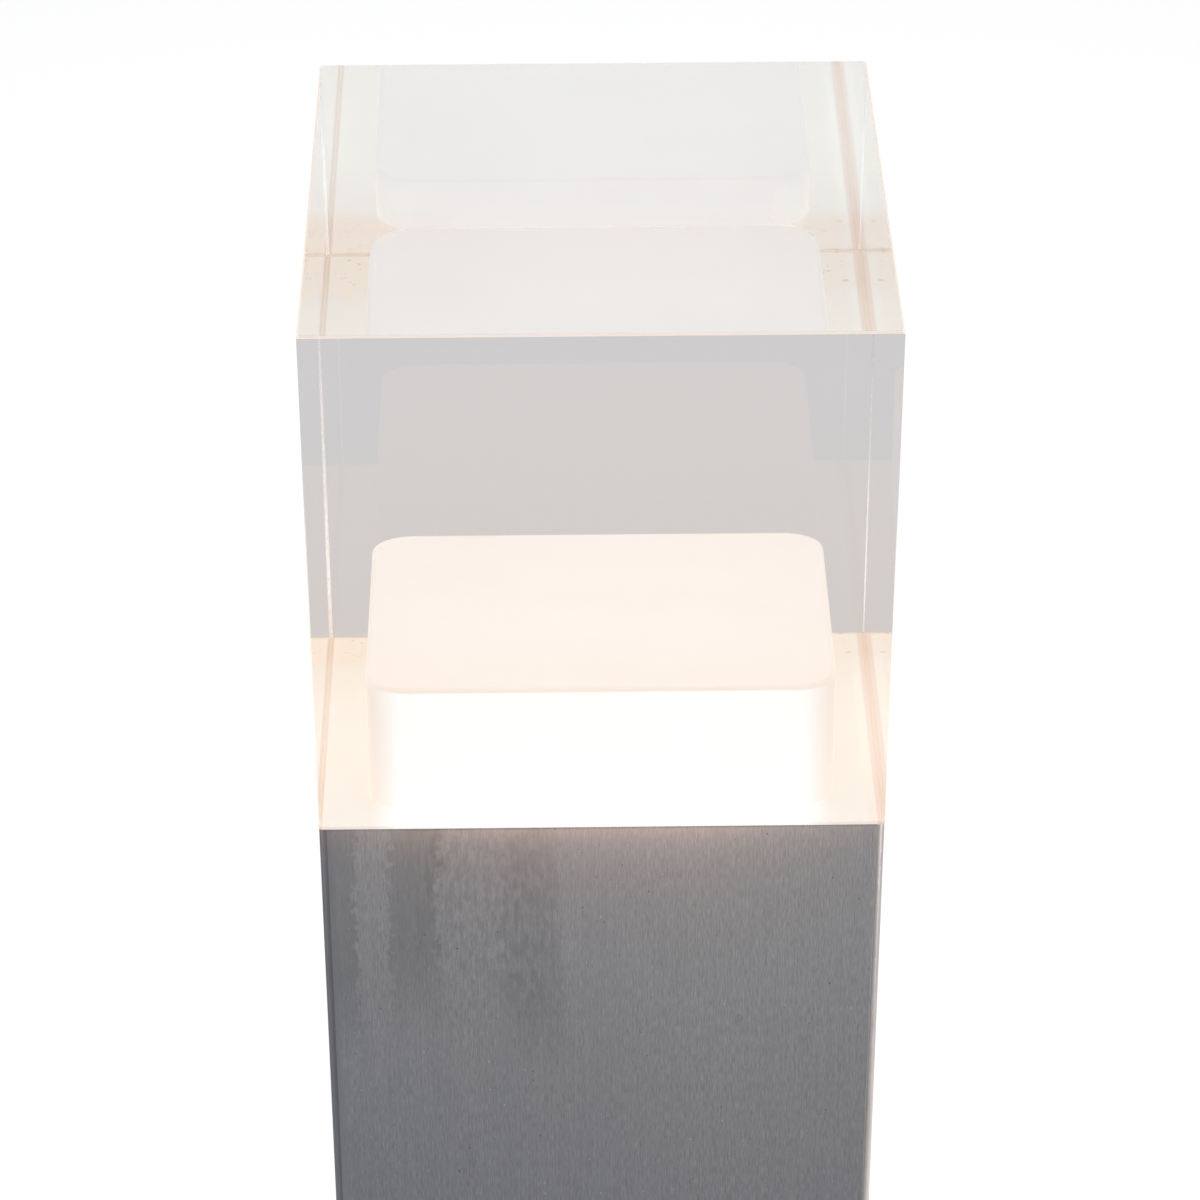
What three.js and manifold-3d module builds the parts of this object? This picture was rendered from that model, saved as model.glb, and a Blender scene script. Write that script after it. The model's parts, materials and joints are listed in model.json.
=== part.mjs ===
// Bollard light: a square brushed-steel post that carries a clear acrylic block, lit by an opal
// diffuser set into its underside. The lamp gear hangs below the block as one lift-out unit, and
// the post slips over a steel channel on a ground plate.
// Millimetres, +Z up, front towards -Y, origin at the centre of the ground plate's underside.
import * as THREE from "three";
import { mergeVertices } from "three/addons/utils/BufferGeometryUtils.js";
import Module from "manifold-3d";

const wasm = await Module();
wasm.setup();

// ---------------------------------------------------------------- driving dimensions

const TOTAL_HEIGHT = 800;
const FIT = 0.3; // clearance round a piece that sits in another's hole or pocket
const PAST = 1; // how far a cut or a joined piece runs past the face it meets

const POST = { side: 80, wall: 1.5, corner: 2 };
const BLOCK = { side: POST.side, height: 79.5, chamfer: 0.5 };
const DIFFUSER = { side: 66, height: 20.5, corner: 6, wall: 2, edge: 1 };
const SEAL = { side: 79, corner: 1.5, window: 67, thickness: 0.5 };

const PLATE = { side: 130, thickness: 5, corner: 10, fixingPitch: 105, fixingRadius: 4.5, entryRadius: 14 };
const CHANNEL = { width: 64, length: 75, height: 85, wall: 3, bend: 3, leadIn: 1.5, entryRadius: 18 };
const CHANNEL_SCREW = { shank: 2.5, length: 7, head: 4.5, headHeight: 2.5, x: 20, y: 28 };
const ENTRY_GROMMET = { bore: 10, flange: 17, flangeHeight: 2, raise: 0.5, edge: 0.5, slope: 1 };

const STRIP = { thickness: 6, width: 24, height: 64, bottom: 9, holes: [14, 50] };
const GRUB = { base: 3, head: 2.5, inset: 0.5, socketDepth: 3, point: 0.35 };
const WELD_NUT = { thickness: 4, side: 12, below: 20.5 };

const CARRIER = {
  side: 76, corner: 2, plate: 4, skirtWidth: 68, skirtWall: 2.5, skirtHeight: 26, skirtCorner: 1,
};
const SINK = { width: 58, back: 15, front: -29, base: 4, finHeight: 18, fin: 2, fins: 9 };
const BOARD = { side: 58, thickness: 1.5, corner: 3 };
const LED = { side: 3.5, height: 0.75, body: 0.525, dome: 0.3, domeFoot: 1.4, domeTop: 1.225 };
const LED_ROWS = { pitch: 17, perSide: 3 };
const BOARD_SCREW = { shank: 1.5, length: 12, head: 2.75, headHeight: 2, x: 24.5, ys: [-25, 11] };
const LEAD_HOLE = { radius: 5, boardRadius: 4.25, y: 24.5, grommetBore: 3, flange: 6.5, flangeHeight: 1 };
const CONNECTOR = { length: 10, width: 6, height: 4, x: 13, socketDepth: 2, wirePitch: 2.6 };

const TRAY = { width: 54, sheet: 1.5, flange: 8, top: -6.5, shoulder: -34.5, bottom: -210.5, face: 34 };
const TRAY_SCREW = { shank: 2, length: 3.5, head: 3.5, headHeight: 2.5, x: 15, z: -18.5 };
const DRIVER = {
  width: 40, depth: 22, corner: 3, bottom: -148.5, top: -38.5, tab: 12, tabWidth: 20, tabDepth: 3, wireX: 8,
};
const SMALL_SCREW = { shank: 1.5, length: 3.5, head: 2.75, headHeight: 2 };
const TERMINAL = {
  width: 34, depth: 16, bottom: -188.5, top: -166.5, polePitch: 10, tunnel: 1.75, wireY: 27,
  groove: 1, grooveDepth: 2,
};
const TERMINAL_SCREW = { shank: 2, length: 3, head: 2.1, headHeight: 2.5, sunk: 1 };
const SADDLE = { bottom: -204.5, height: 10, gapWidth: 13, gapDepth: 10, strap: 2, foot: 8, bend: 1 };
const EARTH = { x: 19, z: -157, shank: 2, head: 3.5, headHeight: 2.5 };
const LUG = { thickness: 0.75, radius: 4, tailWidth: 3, tailStart: 2, tailEnd: 8 };
const WIRE = { supply: 1.3, led: 0.9, entry: 5, straight: 4, steps: 14 };

// A screw's crown and point, and its socket's width and depth, as shares of its own radii and heights.
const SCREW_SHARE = { crown: 0.25, pointInset: 0.2, pointHeight: 0.3, socketWidth: 0.9, socketDepth: 0.6 };

// Heights that follow from the driving dimensions.
const BLOCK_BOTTOM = TOTAL_HEIGHT - BLOCK.height;
const RIM = BLOCK_BOTTOM - SEAL.thickness; // top of the post, and the head unit's own zero
const POST_LENGTH = RIM - PLATE.thickness;
const POST_INSIDE = POST.side - 2 * POST.wall;

const ARC_STEPS = 3; // half the straight steps in each rounded corner
const ROUND_STEPS = 12; // straight steps round a screw, hole or bush
const QUARTER = Math.PI / 2;

// ---------------------------------------------------------------- materials

function metal(color, roughness) {
  return new THREE.MeshStandardMaterial({ color, roughness, metalness: 1 });
}

function plain(color, roughness, options = {}) {
  return new THREE.MeshStandardMaterial({ color, roughness, metalness: 0, ...options });
}

const materials = {
  brushedSteel: metal(0x9a9a9e, 0.35),
  weldedSteel: metal(0x7c7c80, 0.5),
  screwSteel: metal(0xb4b4b8, 0.3),
  aluminium: metal(0xc4c6c8, 0.45),
  acrylic: plain(0xf4f4f2, 0.03, { transparent: true, opacity: 0.3 }),
  opal: plain(0xfff4e8, 0.5, { emissive: 0xffe9d2, emissiveIntensity: 1 }),
  silicone: plain(0xf0ece6, 0.6),
  rubber: plain(0x1c1c1e, 0.8),
  boardWhite: plain(0xf2f2ee, 0.4),
  ledYellow: plain(0xf2d35c, 0.3),
  whitePlastic: plain(0xe9e9e4, 0.4),
  greyPlastic: plain(0x55585c, 0.5),
  brown: plain(0x5a3320, 0.5),
  blue: plain(0x2a4fa0, 0.5),
  green: plain(0x6fa32c, 0.5),
  red: plain(0xb02a24, 0.5),
  black: plain(0x202022, 0.5),
};

// ---------------------------------------------------------------- solids

function toSolid(geometry) {
  const bare = geometry.clone();
  bare.deleteAttribute("normal");
  bare.deleteAttribute("uv");
  const merged = mergeVertices(bare, 1e-4);
  const mesh = new wasm.Mesh({
    numProp: 3,
    vertProperties: merged.attributes.position.array,
    triVerts: new Uint32Array(merged.index.array),
  });
  return new wasm.Manifold(mesh);
}

function toGeometry(solid) {
  const mesh = solid.getMesh();
  const geometry = new THREE.BufferGeometry();
  geometry.setAttribute("position", new THREE.BufferAttribute(mesh.vertProperties, 3));
  geometry.setIndex(new THREE.BufferAttribute(mesh.triVerts, 1));
  geometry.computeVertexNormals();
  return geometry;
}

function join(...pieces) {
  return toGeometry(pieces.map(toSolid).reduce((sum, piece) => sum.add(piece)));
}

function cut(body, ...tools) {
  return toGeometry(tools.map(toSolid).reduce((rest, tool) => rest.subtract(tool), toSolid(body)));
}

// A block given by its lowest corner and its size.
function block(low, size) {
  const centre = low.map((value, i) => value + size[i] / 2);
  return new THREE.BoxGeometry(...size).translate(...centre);
}

function extrude(shape, depth, z = 0, options = {}) {
  const settings = { depth, bevelEnabled: false, curveSegments: ARC_STEPS, ...options };
  return new THREE.ExtrudeGeometry(shape, settings).translate(0, 0, z);
}

// A rod along Z, from z to z + length.
function rod(radius, length, x = 0, y = 0, z = 0) {
  const cylinder = new THREE.CylinderGeometry(radius, radius, length, ROUND_STEPS);
  return cylinder.rotateX(QUARTER).translate(x, y, z + length / 2);
}

// A rod along X that reaches as far each way from x = 0.
function crossRod(radius, length, z) {
  const cylinder = new THREE.CylinderGeometry(radius, radius, length, ROUND_STEPS);
  return cylinder.rotateZ(QUARTER).translate(0, 0, z);
}

// A rod along Y, from y to y + length.
function backRod(radius, length, x, y, z) {
  return new THREE.CylinderGeometry(radius, radius, length, ROUND_STEPS).translate(x, y + length / 2, z);
}

// A shape turned about Z; profile points are [radius, height] pairs that close on the axis or on themselves.
function turned(profile) {
  const points = profile.map(([radius, height]) => new THREE.Vector2(radius, height));
  return new THREE.LatheGeometry(points, ROUND_STEPS).rotateX(QUARTER);
}

function roundedRectangle(width, height, radius) {
  const x = width / 2 - radius;
  const y = height / 2 - radius;
  const shape = new THREE.Shape();
  shape.absarc(x, y, radius, 0, QUARTER);
  shape.absarc(-x, y, radius, QUARTER, 2 * QUARTER);
  shape.absarc(-x, -y, radius, 2 * QUARTER, 3 * QUARTER);
  shape.absarc(x, -y, radius, 3 * QUARTER, 4 * QUARTER);
  shape.closePath();
  return shape;
}

function roundedSquare(side, radius) {
  return roundedRectangle(side, side, radius);
}

function polygon(points) {
  return new THREE.Shape(points.map(([x, y]) => new THREE.Vector2(x, y)));
}

// An outline in X and Z drawn out along Y, centred on y = 0.
function alongY(shape, length) {
  return extrude(shape, length).rotateX(QUARTER).translate(0, length / 2, 0);
}

function hexSocket(acrossFlats, depth) {
  const radius = acrossFlats / Math.sqrt(3);
  const prism = new THREE.CylinderGeometry(radius, radius, 2 * depth, 6);
  return prism.rotateX(QUARTER);
}

// A socket screw with its axis along Z: the head's seat is at z = 0 and the shank points down.
function capScrew({ shank, length, head, headHeight }) {
  const crown = SCREW_SHARE.crown * head;
  const inset = SCREW_SHARE.pointInset * shank;
  const point = SCREW_SHARE.pointHeight * shank;
  const body = turned([
    [0, -length],
    [shank - inset, -length],
    [shank, -length + point],
    [shank, 0],
    [head, 0],
    [head, headHeight - crown],
    [head - crown, headHeight],
    [0, headHeight],
  ]);
  const socket = hexSocket(head * SCREW_SHARE.socketWidth, headHeight * SCREW_SHARE.socketDepth);
  return cut(body, socket.translate(0, 0, headHeight));
}

// A headless screw with its socket at z = 0 and its point at z = -length.
function grubScrew(radius, length) {
  const point = radius * GRUB.point;
  const rim = point / 2;
  const body = turned([
    [0, -length],
    [radius - point, -length],
    [radius, -length + point],
    [radius, -rim],
    [radius - rim, 0],
    [0, 0],
  ]);
  return cut(body, hexSocket(radius, GRUB.socketDepth));
}

// A wire of round section along a smooth curve through the points.
function wire(radius, points, steps) {
  const path = new THREE.CatmullRomCurve3(points.map((p) => new THREE.Vector3(...p)), false, "centripetal");
  const section = new THREE.Shape();
  section.absarc(0, 0, radius, 0, 2 * Math.PI);
  return new THREE.ExtrudeGeometry(section, { extrudePath: path, steps, curveSegments: 4 });
}

function part(name, geometry, material, x = 0, y = 0, z = 0) {
  const mesh = new THREE.Mesh(geometry, material);
  mesh.name = name;
  mesh.position.set(x, y, z);
  return mesh;
}

const signs = [-1, 1];
const corners = [[-1, -1], [1, -1], [1, 1], [-1, 1]];

// ---------------------------------------------------------------- base: ground plate and channel

function groundPlate() {
  const plate = extrude(roundedSquare(PLATE.side, PLATE.corner), PLATE.thickness);
  const deep = 3 * PLATE.thickness;
  const fixing = PLATE.fixingPitch / 2;
  const fixings = corners.map(([x, y]) =>
    rod(PLATE.fixingRadius, deep, x * fixing, y * fixing, -PLATE.thickness),
  );
  const threads = corners.map(([x, y]) =>
    rod(CHANNEL_SCREW.shank + FIT, deep, x * CHANNEL_SCREW.x, y * CHANNEL_SCREW.y, -PLATE.thickness),
  );
  return cut(plate, ...fixings, ...threads, rod(PLATE.entryRadius, deep, 0, 0, -PLATE.thickness));
}

// A folded U with its web on the ground plate and its two uprights inside the post.
function baseChannel() {
  const { width, height, wall, bend, leadIn } = CHANNEL;
  const x = width / 2;
  const outline = new THREE.Shape();
  outline.moveTo(-x + bend, 0);
  outline.absarc(x - bend, bend, bend, -QUARTER, 0);
  outline.lineTo(x, height - leadIn);
  outline.lineTo(x - leadIn, height);
  outline.lineTo(x - wall, height);
  outline.lineTo(x - wall, wall);
  outline.lineTo(-x + wall, wall);
  outline.lineTo(-x + wall, height);
  outline.lineTo(-x + leadIn, height);
  outline.lineTo(-x, height - leadIn);
  outline.absarc(-x + bend, bend, bend, 2 * QUARTER, 3 * QUARTER);
  const holes = corners.map(([sx, sy]) =>
    rod(CHANNEL_SCREW.shank + FIT, 3 * wall, sx * CHANNEL_SCREW.x, sy * CHANNEL_SCREW.y, -wall),
  );
  return cut(alongY(outline, CHANNEL.length), ...holes, rod(CHANNEL.entryRadius, 3 * wall, 0, 0, -wall));
}

function entryGrommet() {
  const { bore, flange, flangeHeight, raise, edge, slope } = ENTRY_GROMMET;
  const neck = PLATE.entryRadius - FIT;
  const top = PLATE.thickness + flangeHeight;
  return turned([
    [bore, raise],
    [neck, raise],
    [neck, PLATE.thickness],
    [flange, PLATE.thickness],
    [flange, top - edge],
    [flange - slope, top],
    [bore + slope, top],
    [bore, top - edge],
    [bore, raise],
  ]);
}

function buildBase() {
  const group = new THREE.Group();
  group.add(part("base_plate", groundPlate(), materials.weldedSteel));
  group.add(part("base_channel", baseChannel(), materials.weldedSteel, 0, 0, PLATE.thickness));
  group.add(part("entry_grommet", entryGrommet(), materials.rubber));
  corners.forEach(([x, y], i) => {
    const screw = capScrew(CHANNEL_SCREW);
    const seat = PLATE.thickness + CHANNEL.wall;
    const name = `channel_screw_${i + 1}`;
    group.add(part(name, screw, materials.screwSteel, x * CHANNEL_SCREW.x, y * CHANNEL_SCREW.y, seat));
  });
  return group;
}

// ---------------------------------------------------------------- post: tube, strips, nuts and grub screws

const NUT_Z = POST_LENGTH - WELD_NUT.below;
const STRIP_SCREW_Z = STRIP.holes.map((z) => STRIP.bottom + z);

function postTube() {
  const outline = roundedSquare(POST.side, POST.corner);
  outline.holes.push(roundedSquare(POST_INSIDE, POST.corner - POST.wall));
  const across = 2 * POST.side;
  const baseHoles = STRIP_SCREW_Z.map((z) => crossRod(GRUB.base + FIT, across, z));
  return cut(extrude(outline, POST_LENGTH), ...baseHoles, crossRod(GRUB.head + FIT, across, NUT_Z));
}

// The strip welded inside a side wall, tapped for the two screws that clamp the post to the channel.
function clampStrip() {
  const strip = block([0, -STRIP.width / 2, 0], [STRIP.thickness, STRIP.width, STRIP.height]);
  const holes = STRIP.holes.map((z) => crossRod(GRUB.base + FIT, 4 * STRIP.thickness, z));
  return cut(strip, ...holes);
}

function weldNut() {
  const half = WELD_NUT.side / 2;
  const nut = block([0, -half, -half], [WELD_NUT.thickness, WELD_NUT.side, WELD_NUT.side]);
  return cut(nut, crossRod(GRUB.head + FIT, 4 * WELD_NUT.thickness, 0));
}

// A grub screw set into a side wall: it reaches from just inside the outer face to the piece it presses on.
function sideScrew(name, radius, sign, z, pressesOn) {
  const outer = POST.side / 2 - GRUB.inset;
  const geometry = grubScrew(radius, outer - pressesOn - FIT).rotateY(sign * QUARTER);
  return part(name, geometry, materials.screwSteel, sign * outer, 0, z);
}

function buildPost() {
  const group = new THREE.Group();
  group.position.z = PLATE.thickness;
  group.add(part("post_tube", postTube(), materials.brushedSteel));
  let screws = 0;
  signs.forEach((sign) => {
    const side = sign < 0 ? "left" : "right";
    const inner = POST_INSIDE / 2;
    const strip = sign < 0 ? -inner : inner - STRIP.thickness;
    const nut = sign < 0 ? -inner : inner - WELD_NUT.thickness;
    group.add(part(`clamp_strip_${side}`, clampStrip(), materials.weldedSteel, strip, 0, STRIP.bottom));
    group.add(part(`weld_nut_${side}`, weldNut(), materials.screwSteel, nut, 0, NUT_Z));
    group.add(sideScrew(`head_grub_screw_${side}`, GRUB.head, sign, NUT_Z, CARRIER.skirtWidth / 2));
    STRIP_SCREW_Z.forEach((z) => {
      screws += 1;
      group.add(sideScrew(`base_grub_screw_${screws}`, GRUB.base, sign, z, CHANNEL.width / 2));
    });
  });
  return group;
}

// ---------------------------------------------------------------- head: block, diffuser and carrier

function acrylicBlock() {
  const { side, height, chamfer } = BLOCK;
  const half = side / 2 - chamfer;
  const outline = polygon([
    [half, -half + chamfer], [half, half - chamfer], [half - chamfer, half], [-half + chamfer, half],
    [-half, half - chamfer], [-half, -half + chamfer], [-half + chamfer, -half], [half - chamfer, -half],
  ]);
  const bevel = { bevelEnabled: true, bevelThickness: chamfer, bevelSize: chamfer, bevelSegments: 1 };
  const body = extrude(outline, height - 2 * chamfer, chamfer, bevel);
  const pocket = roundedSquare(DIFFUSER.side + 2 * FIT, DIFFUSER.corner + FIT);
  const depth = DIFFUSER.height + FIT;
  return cut(body, extrude(pocket, 2 * depth, -depth));
}

// An opal cup, open below, with a small rounding round its top edge.
function opalDiffuser() {
  const { side, height, corner, wall, edge } = DIFFUSER;
  const tall = height + SEAL.thickness;
  const bevel = { bevelEnabled: true, bevelThickness: edge, bevelSize: edge, bevelSegments: 2 };
  const cap = extrude(roundedSquare(side - 2 * edge, corner - edge), tall - 2 * edge, edge, bevel);
  const skirt = extrude(roundedSquare(side, corner), tall / 2);
  const hollow = extrude(roundedSquare(side - 2 * wall, corner - wall), tall, -wall);
  return cut(join(cap, skirt), hollow);
}

function blockSeal() {
  const outline = roundedSquare(SEAL.side, SEAL.corner);
  const gap = (SEAL.window - DIFFUSER.side) / 2;
  outline.holes.push(roundedSquare(SEAL.window, DIFFUSER.corner + gap));
  return extrude(outline, SEAL.thickness);
}

function leadHole(radius) {
  return rod(radius, 6 * CARRIER.plate, 0, LEAD_HOLE.y, -3 * CARRIER.plate);
}

function boardScrewPlaces() {
  return BOARD_SCREW.ys.flatMap((y) => signs.map((sign) => [sign * BOARD_SCREW.x, y]));
}

function boardScrewHoles() {
  const reach = 3 * BOARD_SCREW.length;
  return boardScrewPlaces().map(([x, y]) => rod(BOARD_SCREW.shank + FIT, reach, x, y, -reach / 2));
}

// The aluminium casting that closes the top of the post: a plate with a skirt round the heat sink.
function headCarrier() {
  const { side, corner, plate, skirtWidth, skirtWall, skirtHeight, skirtCorner } = CARRIER;
  const top = extrude(roundedSquare(side, corner), plate, -plate);
  const outline = roundedRectangle(skirtWidth, side, corner);
  outline.holes.push(roundedRectangle(skirtWidth - 2 * skirtWall, side - 2 * skirtWall, skirtCorner));
  const skirt = extrude(outline, skirtHeight, -plate - skirtHeight);
  const trayHoles = signs.map((sign) =>
    backRod(TRAY_SCREW.shank + FIT, side / 2, sign * TRAY_SCREW.x, TRAY.face, TRAY_SCREW.z),
  );
  return cut(join(top, skirt), ...boardScrewHoles(), ...trayHoles, leadHole(LEAD_HOLE.radius));
}

function heatSink() {
  const { width, back, front, base, finHeight, fin, fins } = SINK;
  const top = -CARRIER.plate;
  const depth = back - front;
  const pieces = [block([-width / 2, front, top - base], [width, depth, base])];
  const pitch = (width - fin) / (fins - 1);
  for (let i = 0; i < fins; i += 1) {
    const low = [-width / 2 + i * pitch, front, top - base - finHeight];
    pieces.push(block(low, [fin, depth, finHeight + PAST]));
  }
  return cut(join(...pieces), ...boardScrewHoles());
}

function ledBoard() {
  const board = extrude(roundedSquare(BOARD.side, BOARD.corner), BOARD.thickness);
  return cut(board, ...boardScrewHoles(), leadHole(LEAD_HOLE.boardRadius));
}

function ledPackage() {
  const { side, height, body, domeFoot, domeTop, dome } = LED;
  const lens = new THREE.CylinderGeometry(domeTop, domeFoot, dome, ROUND_STEPS).rotateX(QUARTER);
  const base = block([-side / 2, -side / 2, 0], [side, side, body]);
  return join(base, lens.translate(0, 0, height - dome / 2));
}

const LED_WIRE_Y = signs.map((sign) => LEAD_HOLE.y + sign * CONNECTOR.wirePitch / 2);
const LED_WIRE_Z = BOARD.thickness + CONNECTOR.height / 2;

function boardConnector() {
  const { length, width, height, x, socketDepth } = CONNECTOR;
  const body = block([x - length / 2, LEAD_HOLE.y - width / 2, 0], [length, width, height]);
  const sockets = LED_WIRE_Y.map((y) => {
    const hole = rod(WIRE.led + FIT, 2 * socketDepth).rotateY(QUARTER);
    return hole.translate(x - length / 2 - socketDepth, y, height / 2);
  });
  return cut(body, ...sockets);
}

function leadGrommet() {
  const { radius, grommetBore, flange, flangeHeight } = LEAD_HOLE;
  const neck = radius - FIT;
  const bottom = -CARRIER.plate - flangeHeight;
  return turned([
    [grommetBore, bottom],
    [flange, bottom],
    [flange, -CARRIER.plate],
    [neck, -CARRIER.plate],
    [neck, 0],
    [grommetBore, 0],
    [grommetBore, bottom],
  ]);
}

function addLamp(group) {
  const boardTop = BOARD.thickness;
  group.add(part("acrylic_block", acrylicBlock(), materials.acrylic, 0, 0, SEAL.thickness));
  group.add(part("block_seal", blockSeal(), materials.silicone));
  group.add(part("opal_diffuser", opalDiffuser(), materials.opal));
  group.add(part("head_carrier", headCarrier(), materials.aluminium));
  group.add(part("heat_sink", heatSink(), materials.aluminium));
  group.add(part("led_board", ledBoard(), materials.boardWhite));
  group.add(part("board_connector", boardConnector(), materials.whitePlastic, 0, 0, boardTop));
  group.add(part("lead_grommet", leadGrommet(), materials.rubber, 0, LEAD_HOLE.y));
  const middle = (LED_ROWS.perSide - 1) / 2;
  for (let i = 0; i < LED_ROWS.perSide ** 2; i += 1) {
    const x = ((i % LED_ROWS.perSide) - middle) * LED_ROWS.pitch;
    const y = (Math.floor(i / LED_ROWS.perSide) - middle) * LED_ROWS.pitch;
    group.add(part(`led_${i + 1}`, ledPackage(), materials.ledYellow, x, y, boardTop));
  }
  boardScrewPlaces().forEach(([x, y], i) => {
    group.add(part(`board_screw_${i + 1}`, capScrew(BOARD_SCREW), materials.screwSteel, x, y, boardTop));
  });
}

// ---------------------------------------------------------------- head: gear tray, driver and terminals

const TRAY_BACK = TRAY.face + TRAY.sheet;
const TAB_SCREW_Z = [DRIVER.bottom - DRIVER.tab / 2, DRIVER.top + DRIVER.tab / 2];
const SADDLE_SCREW = {
  x: SADDLE.gapWidth / 2 + SADDLE.strap + SADDLE.foot / 2,
  z: SADDLE.bottom + SADDLE.height / 2,
};

// A folded sheet that hangs from the carrier's back skirt, with its side flanges turned forward.
function gearTray() {
  const { width, sheet, flange, top, shoulder, bottom, face } = TRAY;
  const x = width / 2;
  const channel = polygon([
    [-x, face - flange], [-x + sheet, face - flange], [-x + sheet, face], [x - sheet, face],
    [x - sheet, face - flange], [x, face - flange], [x, face + sheet], [-x, face + sheet],
  ]);
  const body = extrude(channel, shoulder - bottom, bottom);
  const tongue = block([-x, face, shoulder - PAST], [width, sheet, top - shoulder + PAST]);
  const hole = (radius, holeX, z) => backRod(radius + FIT, 4 * sheet, holeX, face - sheet, z);
  const holes = [
    ...signs.map((sign) => hole(TRAY_SCREW.shank, sign * TRAY_SCREW.x, TRAY_SCREW.z)),
    ...signs.map((sign) => hole(SMALL_SCREW.shank, sign * SADDLE_SCREW.x, SADDLE_SCREW.z)),
    ...TAB_SCREW_Z.map((z) => hole(SMALL_SCREW.shank, 0, z)),
    hole(EARTH.shank, EARTH.x, EARTH.z),
  ];
  return cut(join(body, tongue), ...holes);
}

const DRIVER_WIRE_X = signs.map((sign) => sign * DRIVER.wireX);

function ledDriver() {
  const { width, depth, corner, bottom, top, tab, tabWidth, tabDepth } = DRIVER;
  const middle = TRAY.face - depth / 2;
  const body = extrude(roundedRectangle(width, depth, corner), top - bottom, bottom).translate(0, middle, 0);
  const tabLow = [-tabWidth / 2, TRAY.face - tabDepth, bottom - tab];
  const tabs = block(tabLow, [tabWidth, tabDepth, top - bottom + 2 * tab]);
  const screwHoles = TAB_SCREW_Z.map((z) =>
    backRod(SMALL_SCREW.shank + FIT, 4 * tabDepth, 0, TRAY.face - 2 * tabDepth, z),
  );
  const inputs = DRIVER_WIRE_X.map((x) =>
    rod(WIRE.supply + FIT, 2 * WIRE.entry, x, middle, bottom - WIRE.entry),
  );
  const outputs = DRIVER_WIRE_X.map((x) =>
    rod(WIRE.led + FIT, 2 * WIRE.entry, x / 2, middle, top - WIRE.entry),
  );
  return cut(join(body, tabs), ...screwHoles, ...inputs, ...outputs);
}

const POLES = [-TERMINAL.polePitch, 0, TERMINAL.polePitch];
const TERMINAL_FRONT = TRAY.face - TERMINAL.depth;
const TERMINAL_MIDDLE = (TERMINAL.bottom + TERMINAL.top) / 2;

// A three-pole pillar terminal: a wire tunnel and a screw well for each pole.
function terminalBlock() {
  const { width, depth, bottom, top, tunnel, wireY, groove, grooveDepth, polePitch } = TERMINAL;
  const height = top - bottom;
  const body = block([-width / 2, TERMINAL_FRONT, bottom], [width, depth, height]);
  const tunnels = POLES.map((x) => rod(tunnel, 2 * height, x, wireY, bottom - height / 2));
  const reach = TERMINAL_SCREW.sunk + TERMINAL_SCREW.headHeight + TERMINAL_SCREW.length + FIT;
  const wells = POLES.map((x) =>
    backRod(TERMINAL_SCREW.head + FIT, 2 * reach, x, TERMINAL_FRONT - reach, TERMINAL_MIDDLE),
  );
  const grooves = signs.map((sign) => {
    const low = [(sign * polePitch - groove) / 2, TERMINAL_FRONT - PAST, bottom - PAST];
    return block(low, [groove, grooveDepth + PAST, height + 2 * PAST]);
  });
  return cut(body, ...tunnels, ...wells, ...grooves);
}

// The strap that clamps the supply cable to the tray.
function cableSaddle() {
  const { height, gapWidth, gapDepth, strap, foot, bottom, bend } = SADDLE;
  const inner = gapWidth / 2;
  const outer = inner + strap;
  const tip = outer + foot;
  const face = TRAY.face;
  const crest = face - gapDepth;
  const outline = polygon([
    [-tip, face], [-tip, face - strap], [-outer, face - strap], [-outer, crest + bend],
    [-inner + bend, crest - strap], [inner - bend, crest - strap],
    [outer, crest + bend], [outer, face - strap], [tip, face - strap], [tip, face],
    [inner, face], [inner, crest + bend], [inner - bend, crest],
    [-inner + bend, crest], [-inner, crest + bend], [-inner, face],
  ]);
  const holes = signs.map((sign) =>
    backRod(SMALL_SCREW.shank + FIT, 4 * strap, sign * SADDLE_SCREW.x, face - 2 * strap, SADDLE_SCREW.z),
  );
  return cut(extrude(outline, height, bottom), ...holes);
}

// A screw driven towards +Y, with its head's seat at height y.
function backScrew(name, size, x, y, z) {
  return part(name, capScrew(size).rotateX(QUARTER), materials.screwSteel, x, y, z);
}

function earthLug() {
  const { thickness, radius, tailWidth, tailStart, tailEnd } = LUG;
  const { x, z, shank } = EARTH;
  const front = TRAY.face - thickness;
  const ring = backRod(radius, thickness, x, front, z);
  const tail = block([x - tailWidth / 2, front, z - tailEnd], [tailWidth, thickness, tailEnd - tailStart]);
  const hole = backRod(shank + FIT, 4 * thickness, x, front - thickness, z);
  return cut(join(ring, tail), hole);
}

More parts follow.
